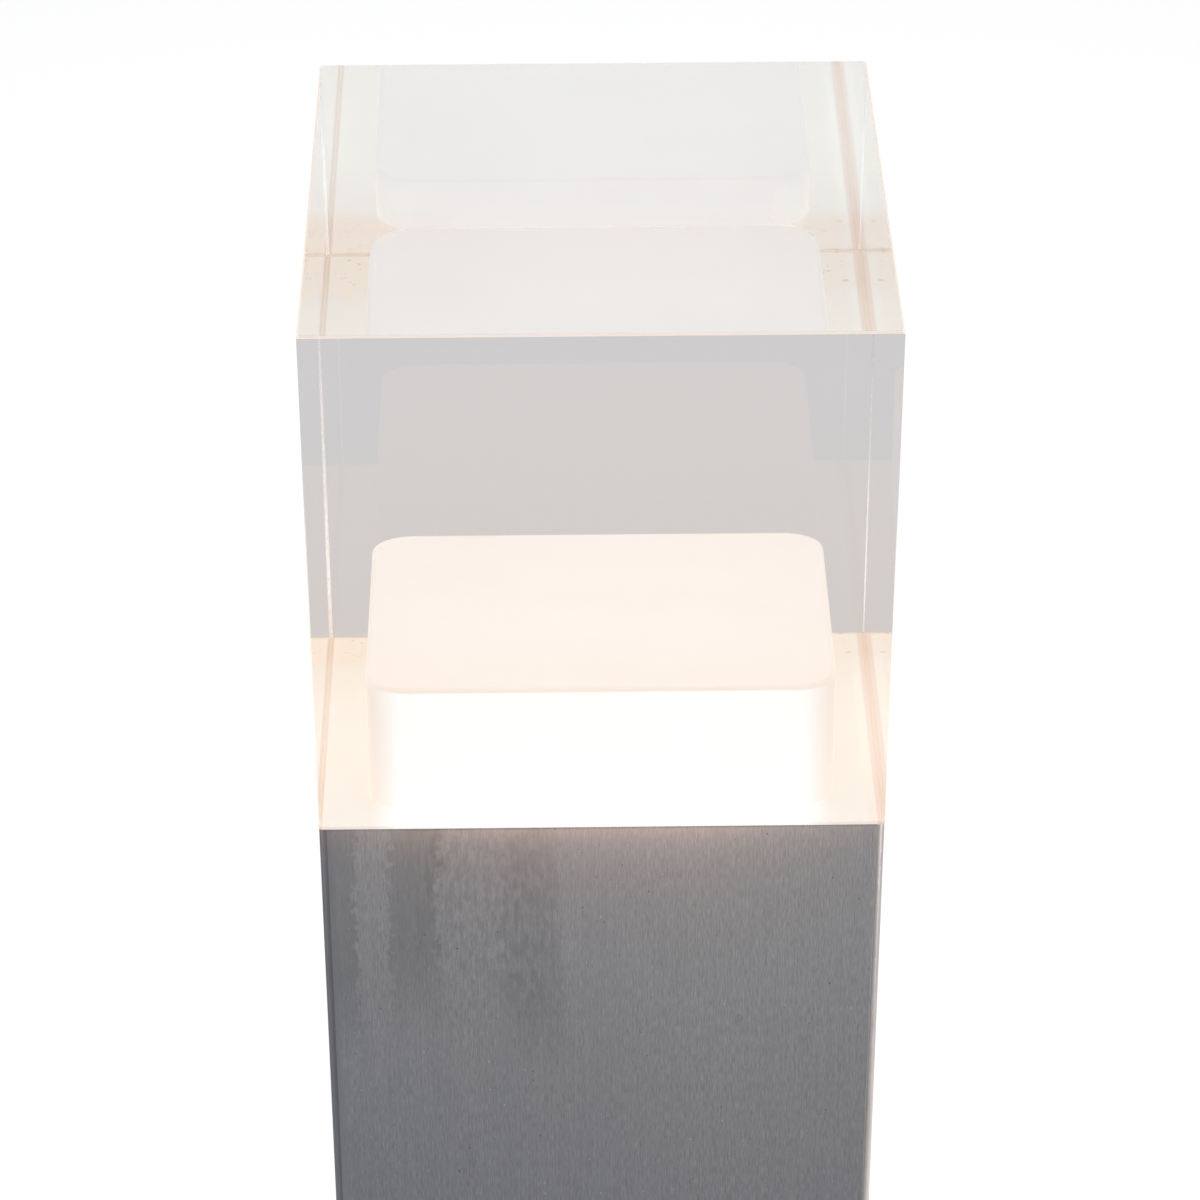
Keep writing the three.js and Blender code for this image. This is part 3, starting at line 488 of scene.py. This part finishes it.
def brushed_material():
    """Vertically brushed, lacquered stainless steel, with ragged darker bands near its rim, painted lamplight
    at the rim, and painted light and shade down the post, across it and along its corners.
    """
    material, tree, shader = new_material("brushed_post")
    x, y, z = separate_place(tree)
    below = calculate(tree, "SUBTRACT", TUBE_HIGH.z, z)
    along = calculate(tree, "MINIMUM", distance(tree, x), distance(tree, y))
    dashes = noise(tree, (5600.0, 5600.0, 560.0), 2.0, 0.6)  # the brush's short strokes
    ticks = noise(tree, (3800.0, 3800.0, 380.0), 1.0)        # a few darker ones
    hairs = noise(tree, (5200.0, 5200.0, 90.0), 2.0)         # longer, finer ones
    lines = noise(tree, (3000.0, 3000.0, 45.0), 2.0)         # faint lines down the post
    streak = noise(tree, (160.0, 160.0, 2.5), 3.0)           # broad, long streaks
    peel = noise(tree, (520.0, 520.0, 420.0), 3.0, 0.6)      # the lacquer's uneven polish
    cloud = noise(tree, (55.0, 55.0, 30.0), 3.0)             # makes the dull patches' edges wander
    nick = noise(tree, (1900.0, 1900.0, 1100.0), 1.0)        # small nicks, pale or dark
    darker_mask = darker_patches(tree, x, below, cloud)

    base = blend_colours(tree, ramp(tree, dashes, 0.36, 0.64), DARK_GRAIN, LIGHT_GRAIN)
    base = lay_over(tree, base, (
        (spread(tree, ticks, 0.5, 0.0, 0.28, 0.36), TICK),
        (spread(tree, hairs, 0.0, 0.5), HAIR),
        (spread(tree, streak, 0.0, 0.3), STREAK),
        (multiply(tree, darker_mask, DARK_BAND_STRENGTH), DARK_BAND),
    ))
    # painted light and shade: lighter at the rim, darker and cooler down the post, darker on the left and
    # lighter on the right
    base = shade(tree, base, ramp(tree, below, 0.0, LOW_SHADE_AT), RIM_LIGHT_TONE, LOW_SHADE_TONE)
    base = shade(tree, base, ramp(tree, x, *LEFT_TO_RIGHT), LEFT_SHADE_TONE, RIGHT_LIGHT_TONE)
    base = lay_over(tree, base, (
        (ramp(tree, nick, 0.76, 0.78), PALE_NICK),
        (ramp(tree, nick, 0.25, 0.23), DARK_NICK),
    ))
    base = shade(tree, base, ramp(tree, lines, 0.38, 0.62), DARK_LINE, LIGHT_LINE)
    # painted highlight along the right-hand corners and painted shade along the left-hand ones
    for side, start, full, tone in CORNER_LIGHT_AND_SHADE:
        corner = multiply(
            tree,
            ramp(tree, along, TUBE_HIGH.x - start * MM, TUBE_HIGH.x - full * MM),
            ramp(tree, x, side * TO_ONE_SIDE[0], side * TO_ONE_SIDE[1]),
        )
        base = blend_colours(tree, corner, base, tone)
    tree.links.new(base, shader.inputs["Base Color"])
    rough = add(tree, spread(tree, hairs, 0.3, 0.38), spread(tree, peel, -0.04, 0.04))
    tree.links.new(rough, shader.inputs["Roughness"])
    height = add(tree, multiply(tree, dashes, 0.7), multiply(tree, hairs, 0.3))
    tree.links.new(bump(tree, height, 0.6, GRAIN_DEPTH), shader.inputs["Normal"])
    # painted light: the lamp's light on the steel, emitted near the rim
    tree.links.new(rim_glow(tree, below, along, dashes), shader.inputs["Emission Strength"])
    set_shader(shader, metallic=1.0, emission_color=GLOW_COLOUR)
    return material


# ---------------------------------------------------------------- other metals and plastics

METALS = {  # colour, roughness, grain in cycles per metre, and the grain's relief
    "base_steel": ((0.46, 0.46, 0.47), 0.4, (60.0, 2600.0, 2600.0), 0.2),
    "screw_steel": ((0.66, 0.66, 0.67), 0.25, (900.0, 900.0, 900.0), 0.1),
    "cast_aluminium": ((0.72, 0.73, 0.73), 0.5, (1300.0, 1300.0, 1300.0), 0.45),
    "tray_aluminium": ((0.76, 0.77, 0.78), 0.35, (1800.0, 1800.0, 50.0), 0.15),
}
PLASTICS = {  # colour and roughness
    "black_rubber": ((0.02, 0.02, 0.022), 0.7),
    "board": ((0.86, 0.86, 0.83), 0.4),
    "led_phosphor": ((0.88, 0.62, 0.1), 0.25),
    "white_plastic": ((0.78, 0.78, 0.75), 0.4),
    "grey_plastic": ((0.09, 0.095, 0.105), 0.5),
    "brown_insulation": ((0.1, 0.035, 0.015), 0.45),
    "blue_insulation": ((0.02, 0.08, 0.35), 0.45),
    "green_insulation": ((0.16, 0.36, 0.03), 0.45),
    "red_insulation": ((0.43, 0.02, 0.015), 0.5),
    "black_insulation": ((0.015, 0.015, 0.016), 0.5),
}


def scaled(colour, factor):
    return tuple(min(1.0, factor * part) for part in colour)


def metal_material(name, colour, rough, grain_scale, relief):
    """Plain metal with a fine grain in its colour, polish and relief."""
    material, tree, shader = new_material(name)
    grain = noise(tree, grain_scale, 4.0, 0.6)
    cloud = noise(tree, (70.0, 70.0, 70.0), 3.0)
    dark = scaled(colour, 0.82)
    tint = blend_colours(tree, spread(tree, grain, 0.0, 1.0), dark, scaled(colour, 1.08))
    tint = blend_colours(tree, spread(tree, cloud, 0.0, 0.25), tint, dark)
    tree.links.new(tint, shader.inputs["Base Color"])
    tree.links.new(spread(tree, grain, rough - 0.06, rough + 0.08), shader.inputs["Roughness"])
    tree.links.new(bump(tree, grain, relief, GRAIN_DEPTH), shader.inputs["Normal"])
    set_shader(shader, metallic=1.0)
    return material


def plastic_material(name, colour, rough):
    """Moulded plastic, rubber or insulation with a fine skin texture."""
    material, tree, shader = new_material(name)
    grain = noise(tree, (2500.0, 2500.0, 2500.0), 3.0)
    cloud = noise(tree, (110.0, 110.0, 110.0), 2.0)
    tint = blend_colours(tree, spread(tree, cloud, 0.0, 1.0), scaled(colour, 0.92), scaled(colour, 1.06))
    tree.links.new(tint, shader.inputs["Base Color"])
    tree.links.new(spread(tree, grain, rough - 0.05, rough + 0.08), shader.inputs["Roughness"])
    tree.links.new(bump(tree, grain, 0.15, GRAIN_DEPTH), shader.inputs["Normal"])
    return material


def make_materials():
    """Every material, under the name of its slot."""
    made = {
        "clear_acrylic": acrylic_material(),
        "opal_acrylic": opal_material(),
        "silicone": silicone_material(),
        "brushed_post": brushed_material(),
    }
    for name, finish in METALS.items():
        made[name] = metal_material(name, *finish)
    for name, finish in PLASTICS.items():
        made[name] = plastic_material(name, *finish)
    return made


# ---------------------------------------------------------------- mesh helpers

ARC = 8  # straight steps in each rounded corner
CORNERS = ((1, 1), (-1, 1), (-1, -1), (1, -1))  # the signs of x and y, from the back right corner round
FLAT = 0.9995  # the normal's share along an axis at which a face counts as flat


def rounded_loop(half, radius, z):
    """Points round a square with rounded corners, anticlockwise from the right-hand side."""
    points = []
    for corner, (sx, sy) in enumerate(CORNERS):
        for step in range(ARC + 1):
            angle = (corner + step / ARC) * math.pi / 2
            x = sx * (half - radius) + radius * math.cos(angle)
            y = sy * (half - radius) + radius * math.sin(angle)
            points.append(Vector((x, y, z)))
    return points


def chamfered_loop(half, chamfers, z):
    """Points round a square with cut corners, two at each corner, anticlockwise from the right-hand side."""
    points = []
    for corner, (sx, sy) in enumerate(CORNERS):
        cut = chamfers[corner]
        ends = [Vector((sx * half, sy * (half - cut), z)), Vector((sx * (half - cut), sy * half, z))]
        if corner % 2:
            ends.reverse()
        points += ends
    return points


def loft(mesh, loops, ends):
    """Joins each loop to the next. The two ends are capped, meet each other or stay open, as ends says."""
    rings = [[mesh.verts.new(point) for point in loop] for loop in loops]
    pairs = list(zip(rings, rings[1:]))
    if ends == "meet":
        pairs.append((rings[-1], rings[0]))
    for low, high in pairs:
        for i in range(len(low)):
            j = (i + 1) % len(low)
            mesh.faces.new((low[i], low[j], high[j], high[i]))
    if ends == "capped":
        mesh.faces.new(rings[0])
        mesh.faces.new(rings[-1])
    return rings


def join_rings(mesh, inner, outer):
    """Fills between a rounded loop and the chamfered loop round it, corner by corner."""
    per_corner = len(inner) // 4
    middle = per_corner // 2
    for corner in range(4):
        arc = inner[corner * per_corner:(corner + 1) * per_corner]
        cut = outer[2 * corner:2 * corner + 2]
        for i in range(per_corner - 1):
            mesh.faces.new((arc[i], arc[i + 1], cut[0] if i < middle else cut[1]))
        mesh.faces.new((arc[middle], cut[1], cut[0]))
        next_arc_start = inner[(corner + 1) * per_corner % len(inner)]
        next_cut_start = outer[(2 * corner + 2) % len(outer)]
        mesh.faces.new((arc[-1], next_arc_start, next_cut_start, cut[1]))


def new_object(name, mesh):
    """Makes the mesh an object in the scene."""
    data = bpy.data.meshes.new(name)
    mesh.to_mesh(data)
    mesh.free()
    made = bpy.data.objects.new(name, data)
    bpy.context.scene.collection.objects.link(made)
    return made


def new_piece(name, mesh, body, slot, replaced):
    """Makes the mesh an object that stands for the CAD nodes in replaced and rides on body."""
    bmesh.ops.recalc_face_normals(mesh, faces=mesh.faces)
    piece = new_object(name, mesh)
    piece.data.materials.append(materials[slot])
    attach(piece, body)
    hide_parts(*replaced)
    return piece


def smooth_round_faces(piece, steepest=1.0):
    """Shades the curved stretches smooth. Faces along the axes and those that tip past steepest stay flat."""
    for face in piece.data.polygons:
        x, y, z = (abs(value) for value in face.normal)
        face.use_smooth = max(x, y, z) < FLAT and z < steepest


# ---------------------------------------------------------------- head: block, diffuser and seal

# how deeply the block's upright edges are cut, from the back right one round to the front right one
UPRIGHT_AT_FOOT = (0.1 * MM, 0.28 * MM, 0.12 * MM, 0.1 * MM)
UPRIGHT_AT_TOP = (0.12 * MM, 0.1 * MM, 0.15 * MM, 0.12 * MM)
DIFFUSER_CORNER = 6 * MM
DIFFUSER_WALL = 2 * MM
DIFFUSER_EDGE_STEPS = 4
SEAL_INSET = 0.008 * MM   # the bonding layer's sides lie this far in from the block's
SEAL_DRAW_IN = 0.02 * MM  # and are drawn in by this at half height
SEAL_CORNER = 0.4 * MM


def make_block():
    """The block, with a pocket that fits the diffuser's surface so closely that no air shows between them."""
    low = BLOCK_LOW.z - BOND
    pocket = DIFFUSER_HIGH.x - BOND
    ceiling = DIFFUSER_HIGH.z - BOND
    mesh = bmesh.new()
    outer_rings = loft(mesh, [
        chamfered_loop(BLOCK_HALF, UPRIGHT_AT_FOOT, low),
        chamfered_loop(BLOCK_HALF, UPRIGHT_AT_TOP, BLOCK_TOP - BLOCK_CHAMFER),
        chamfered_loop(BLOCK_HALF - BLOCK_CHAMFER, UPRIGHT_AT_TOP, BLOCK_TOP),
    ], "open")
    inner_rings = loft(mesh, [
        rounded_loop(pocket - DIFFUSER_EDGE, DIFFUSER_CORNER - DIFFUSER_EDGE, ceiling),
        rounded_loop(pocket, DIFFUSER_CORNER, ceiling - DIFFUSER_EDGE),
        rounded_loop(pocket, DIFFUSER_CORNER, low),
    ], "open")
    mesh.faces.new(outer_rings[-1])
    mesh.faces.new(inner_rings[0])
    join_rings(mesh, inner_rings[-1], outer_rings[0])
    new_piece("clear_block", mesh, "head", "clear_acrylic", ["acrylic_block"])


def make_diffuser():
    """The opal cup, open below, with rounded upright corners and a rounded top edge."""
    half = DIFFUSER_HIGH.x
    low, top = DIFFUSER_LOW.z, DIFFUSER_HIGH.z
    inner = half - DIFFUSER_WALL
    inner_corner = DIFFUSER_CORNER - DIFFUSER_WALL
    mesh = bmesh.new()
    loops = [
        rounded_loop(inner, inner_corner, top - DIFFUSER_WALL),
        rounded_loop(inner, inner_corner, low),
        rounded_loop(half, DIFFUSER_CORNER, low),
    ]
    for step in range(DIFFUSER_EDGE_STEPS + 1):
        angle = step / DIFFUSER_EDGE_STEPS * math.pi / 2
        inset = DIFFUSER_EDGE * (1 - math.cos(angle))
        height = top - DIFFUSER_EDGE * (1 - math.sin(angle))
        loops.append(rounded_loop(half - inset, DIFFUSER_CORNER - inset, height))
    loft(mesh, loops, "capped")
    piece = new_piece("opal_cup", mesh, "head", "opal_acrylic", ["opal_diffuser"])
    smooth_round_faces(piece)


def make_seal():
    """The bonding layer, squeezed out until it is flush with the block and the tube."""
    half = BLOCK_HALF - SEAL_INSET
    window = DIFFUSER_HIGH.x - BOND
    low, top = SEAL_LOW.z, SEAL_HIGH.z
    mesh = bmesh.new()
    loops = [
        rounded_loop(window, DIFFUSER_CORNER, low),
        rounded_loop(half, SEAL_CORNER, low),
        rounded_loop(half - SEAL_DRAW_IN, SEAL_CORNER, (low + top) / 2),
        rounded_loop(half, SEAL_CORNER, top),
        rounded_loop(window, DIFFUSER_CORNER, top),
    ]
    loft(mesh, loops, "meet")
    piece = new_piece("bonding_seal", mesh, "head", "silicone", ["block_seal"])
    smooth_round_faces(piece)


# ---------------------------------------------------------------- post: brushed tube

TUBE_WALL = 1.5 * MM
TUBE_CORNER = 1.1 * MM
TUBE_INNER_CORNER = 0.3 * MM
RIM_EDGE = 0.12 * MM
SCREW_HOLE_STEPS = 32
SCREW_CLEARANCE = 0.3 * MM


def screw_hole_rods():
    """Rods across the tube, where its side screws are. A rod serves the screws on both sides."""
    radius_at = {}
    for name in nodes_of:
        if "grub_screw" in name:
            low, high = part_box(name)
            centre = (low + high) / 2
            radius_at[round(centre.z, 4)] = (high.z - low.z) / 2 + SCREW_CLEARANCE
    mesh = bmesh.new()
    for z, radius in radius_at.items():
        place = Matrix.Translation((0, 0, z)) @ Matrix.Rotation(math.pi / 2, 4, "Y")
        bmesh.ops.create_cone(
            mesh, cap_ends=True, segments=SCREW_HOLE_STEPS, radius1=radius, radius2=radius,
            depth=2 * BLOCK_SIDE, matrix=place,
        )
    return new_object("cutter", mesh)


def cut_screw_holes(piece):
    cutter = screw_hole_rods()
    cut = piece.modifiers.new("holes", "BOOLEAN")
    cut.object = cutter
    cut.operation = "DIFFERENCE"
    cut.solver = "EXACT"
    bpy.context.view_layer.update()
    shape = piece.evaluated_get(bpy.context.evaluated_depsgraph_get())
    piece.data = bpy.data.meshes.new_from_object(shape)
    piece.data.name = piece.name
    piece.modifiers.clear()
    bpy.data.objects.remove(cutter)


def make_tube():
    """The square tube, with softened ends and its side screws' holes."""
    half = TUBE_HIGH.x
    low, top = TUBE_LOW.z, TUBE_HIGH.z
    inner = half - TUBE_WALL
    mesh = bmesh.new()
    loops = [
        rounded_loop(inner, TUBE_INNER_CORNER, low),
        rounded_loop(half - RIM_EDGE, TUBE_CORNER - RIM_EDGE, low),
        rounded_loop(half, TUBE_CORNER, low + RIM_EDGE),
        rounded_loop(half, TUBE_CORNER, top - RIM_EDGE),
        rounded_loop(half - RIM_EDGE, TUBE_CORNER - RIM_EDGE, top),
        rounded_loop(inner, TUBE_INNER_CORNER, top),
    ]
    loft(mesh, loops, "meet")
    piece = new_piece("steel_post", mesh, "post", "brushed_post", ["post_tube"])
    cut_screw_holes(piece)
    smooth_round_faces(piece, steepest=0.1)


# ---------------------------------------------------------------- carried-over CAD nodes

SMOOTH_ANGLE = math.radians(32)
BEVEL_ANGLE = math.radians(40)
EDGE_WIDTH = 0.2 * MM


def smooth_by_angle_group():
    """A modifier that shades shallow edges smooth and keeps the others sharp."""
    group = bpy.data.node_groups.new("smooth_by_angle", "GeometryNodeTree")
    group.interface.new_socket("Geometry", in_out="INPUT", socket_type="NodeSocketGeometry")
    group.interface.new_socket("Geometry", in_out="OUTPUT", socket_type="NodeSocketGeometry")
    start = group.nodes.new("NodeGroupInput")
    end = group.nodes.new("NodeGroupOutput")
    angle = group.nodes.new("GeometryNodeInputMeshEdgeAngle")
    limit = add_node(
        group, "FunctionNodeCompare", {"A": angle.outputs["Unsigned Angle"], "B": SMOOTH_ANGLE},
        data_type="FLOAT", operation="LESS_EQUAL",
    )
    faces = add_node(group, "GeometryNodeSetShadeSmooth", {"Geometry": start.outputs[0]}, domain="FACE")
    edges = add_node(
        group, "GeometryNodeSetShadeSmooth",
        {"Geometry": faces.outputs[0], "Shade Smooth": limit.outputs[0]}, domain="EDGE",
    )
    group.links.new(edges.outputs[0], end.inputs[0])
    return group


def finish_cad_nodes():
    """Gives each CAD node that stays its material, softened edges and smooth round faces."""
    group = smooth_by_angle_group()
    for name, item in nodes_of.items():
        if item.hide_render:  # a piece made here stands for it
            continue
        item.data.materials.clear()
        item.data.materials.append(materials[slot_of[name]])
        smooth = item.modifiers.new("smooth", "NODES")
        smooth.node_group = group
        edge = item.modifiers.new("edge", "BEVEL")
        edge.width = EDGE_WIDTH
        edge.segments = 2
        edge.limit_method = "ANGLE"
        edge.angle_limit = BEVEL_ANGLE
        even = item.modifiers.new("even", "WEIGHTED_NORMAL")
        even.keep_sharp = True


# ---------------------------------------------------------------- floor and lights

FLOOR_HALF = 12.0
FLOOR_WHITE = (0.93, 0.93, 0.93)

# painted light and shade for the object's reflections: what the block and the steel see of the floor, and the
# places in metres between which it changes
SEEN_IN_FRONT = (0.62, 0.615, 0.62)
SEEN_BEHIND = (0.592, 0.552, 0.538)
SEEN_FAR_BEHIND = (0.618, 0.583, 0.578)
SEEN_ON_THE_RIGHT = (0.9, 0.85, 0.83)
SEEN_ON_THE_LEFT = (0.4, 0.42, 0.46)
FRONT_TO_BEHIND = (-0.2, 0.3)
BEHIND_TO_FAR = (1.15, 1.34)
BESIDE_ENDS, BESIDE_FULL = 0.9, 0.6  # how far in front and behind the tones on the sides reach
SIDE_STARTS, SIDE_FULL = 0.3, 0.7    # how far out they start and are full


def floor_material():
    """White to the camera. The object sees it greyer: darker left, lighter right and warmer behind."""
    material, tree, shader = new_material("floor")
    path = add_node(tree, "ShaderNodeLightPath")
    x, y, _ = separate_place(tree)
    behind = blend_colours(tree, ramp(tree, y, *BEHIND_TO_FAR), SEEN_BEHIND, SEEN_FAR_BEHIND)
    seen = blend_colours(tree, ramp(tree, y, *FRONT_TO_BEHIND), SEEN_IN_FRONT, behind)
    beside = ramp(tree, distance(tree, y), BESIDE_ENDS, BESIDE_FULL)
    for side, tone in ((1, SEEN_ON_THE_RIGHT), (-1, SEEN_ON_THE_LEFT)):
        out = ramp(tree, x, side * SIDE_STARTS, side * SIDE_FULL)
        seen = blend_colours(tree, multiply(tree, beside, out), seen, tone)
    colour = blend_colours(tree, path.outputs["Is Camera Ray"], seen, FLOOR_WHITE)
    tree.links.new(colour, shader.inputs["Base Color"])
    set_shader(shader, roughness=0.9, specular_ior_level=0.0)
    return material


def make_floor():
    """A floor for the object to stand on, which is no part of it."""
    mesh = bmesh.new()
    bmesh.ops.create_grid(mesh, x_segments=1, y_segments=1, size=FLOOR_HALF)
    floor = new_object("floor", mesh)
    floor.data.materials.append(floor_material())


def area_light(name, place, aim, size, power):
    """A soft light, which the camera doesn't see."""
    data = bpy.data.lights.new(name, "AREA")
    data.shape = "RECTANGLE"
    data.size, data.size_y = size
    data.energy = power
    light = bpy.data.objects.new(name, data)
    light.location = place
    light.rotation_euler = (Vector(aim) - Vector(place)).to_track_quat("-Z", "Y").to_euler()
    light.visible_camera = False
    bpy.context.scene.collection.objects.link(light)


def make_world(colour, level):
    world = bpy.data.worlds.new("world")
    world.use_nodes = True
    back = world.node_tree.nodes["Background"]
    back.inputs["Color"].default_value = opaque(colour)
    back.inputs["Strength"].default_value = level
    bpy.context.scene.world = world


def make_lights():
    """A wide soft light overhead and behind, and a weak one on each side of the head."""
    head = (0.0, 0.0, BLOCK_TOP)
    make_world(colour=(0.98, 0.985, 1.0), level=0.3)
    area_light("overhead", place=(0.0, 0.9, 3.2), aim=(0.0, 0.9, 0.0), size=(4.0, 4.0), power=122.0)
    area_light("right", place=(2.4, -1.2, 1.6), aim=head, size=(0.8, 1.6), power=8.0)
    area_light("left", place=(-2.6, -0.8, 1.4), aim=head, size=(0.8, 1.6), power=2.0)


# ---------------------------------------------------------------- build

materials = make_materials()
make_camera()
make_block()
make_diffuser()
make_seal()
make_tube()
finish_cad_nodes()
make_floor()
make_lights()
bpy.context.scene.view_settings.view_transform = "Standard"
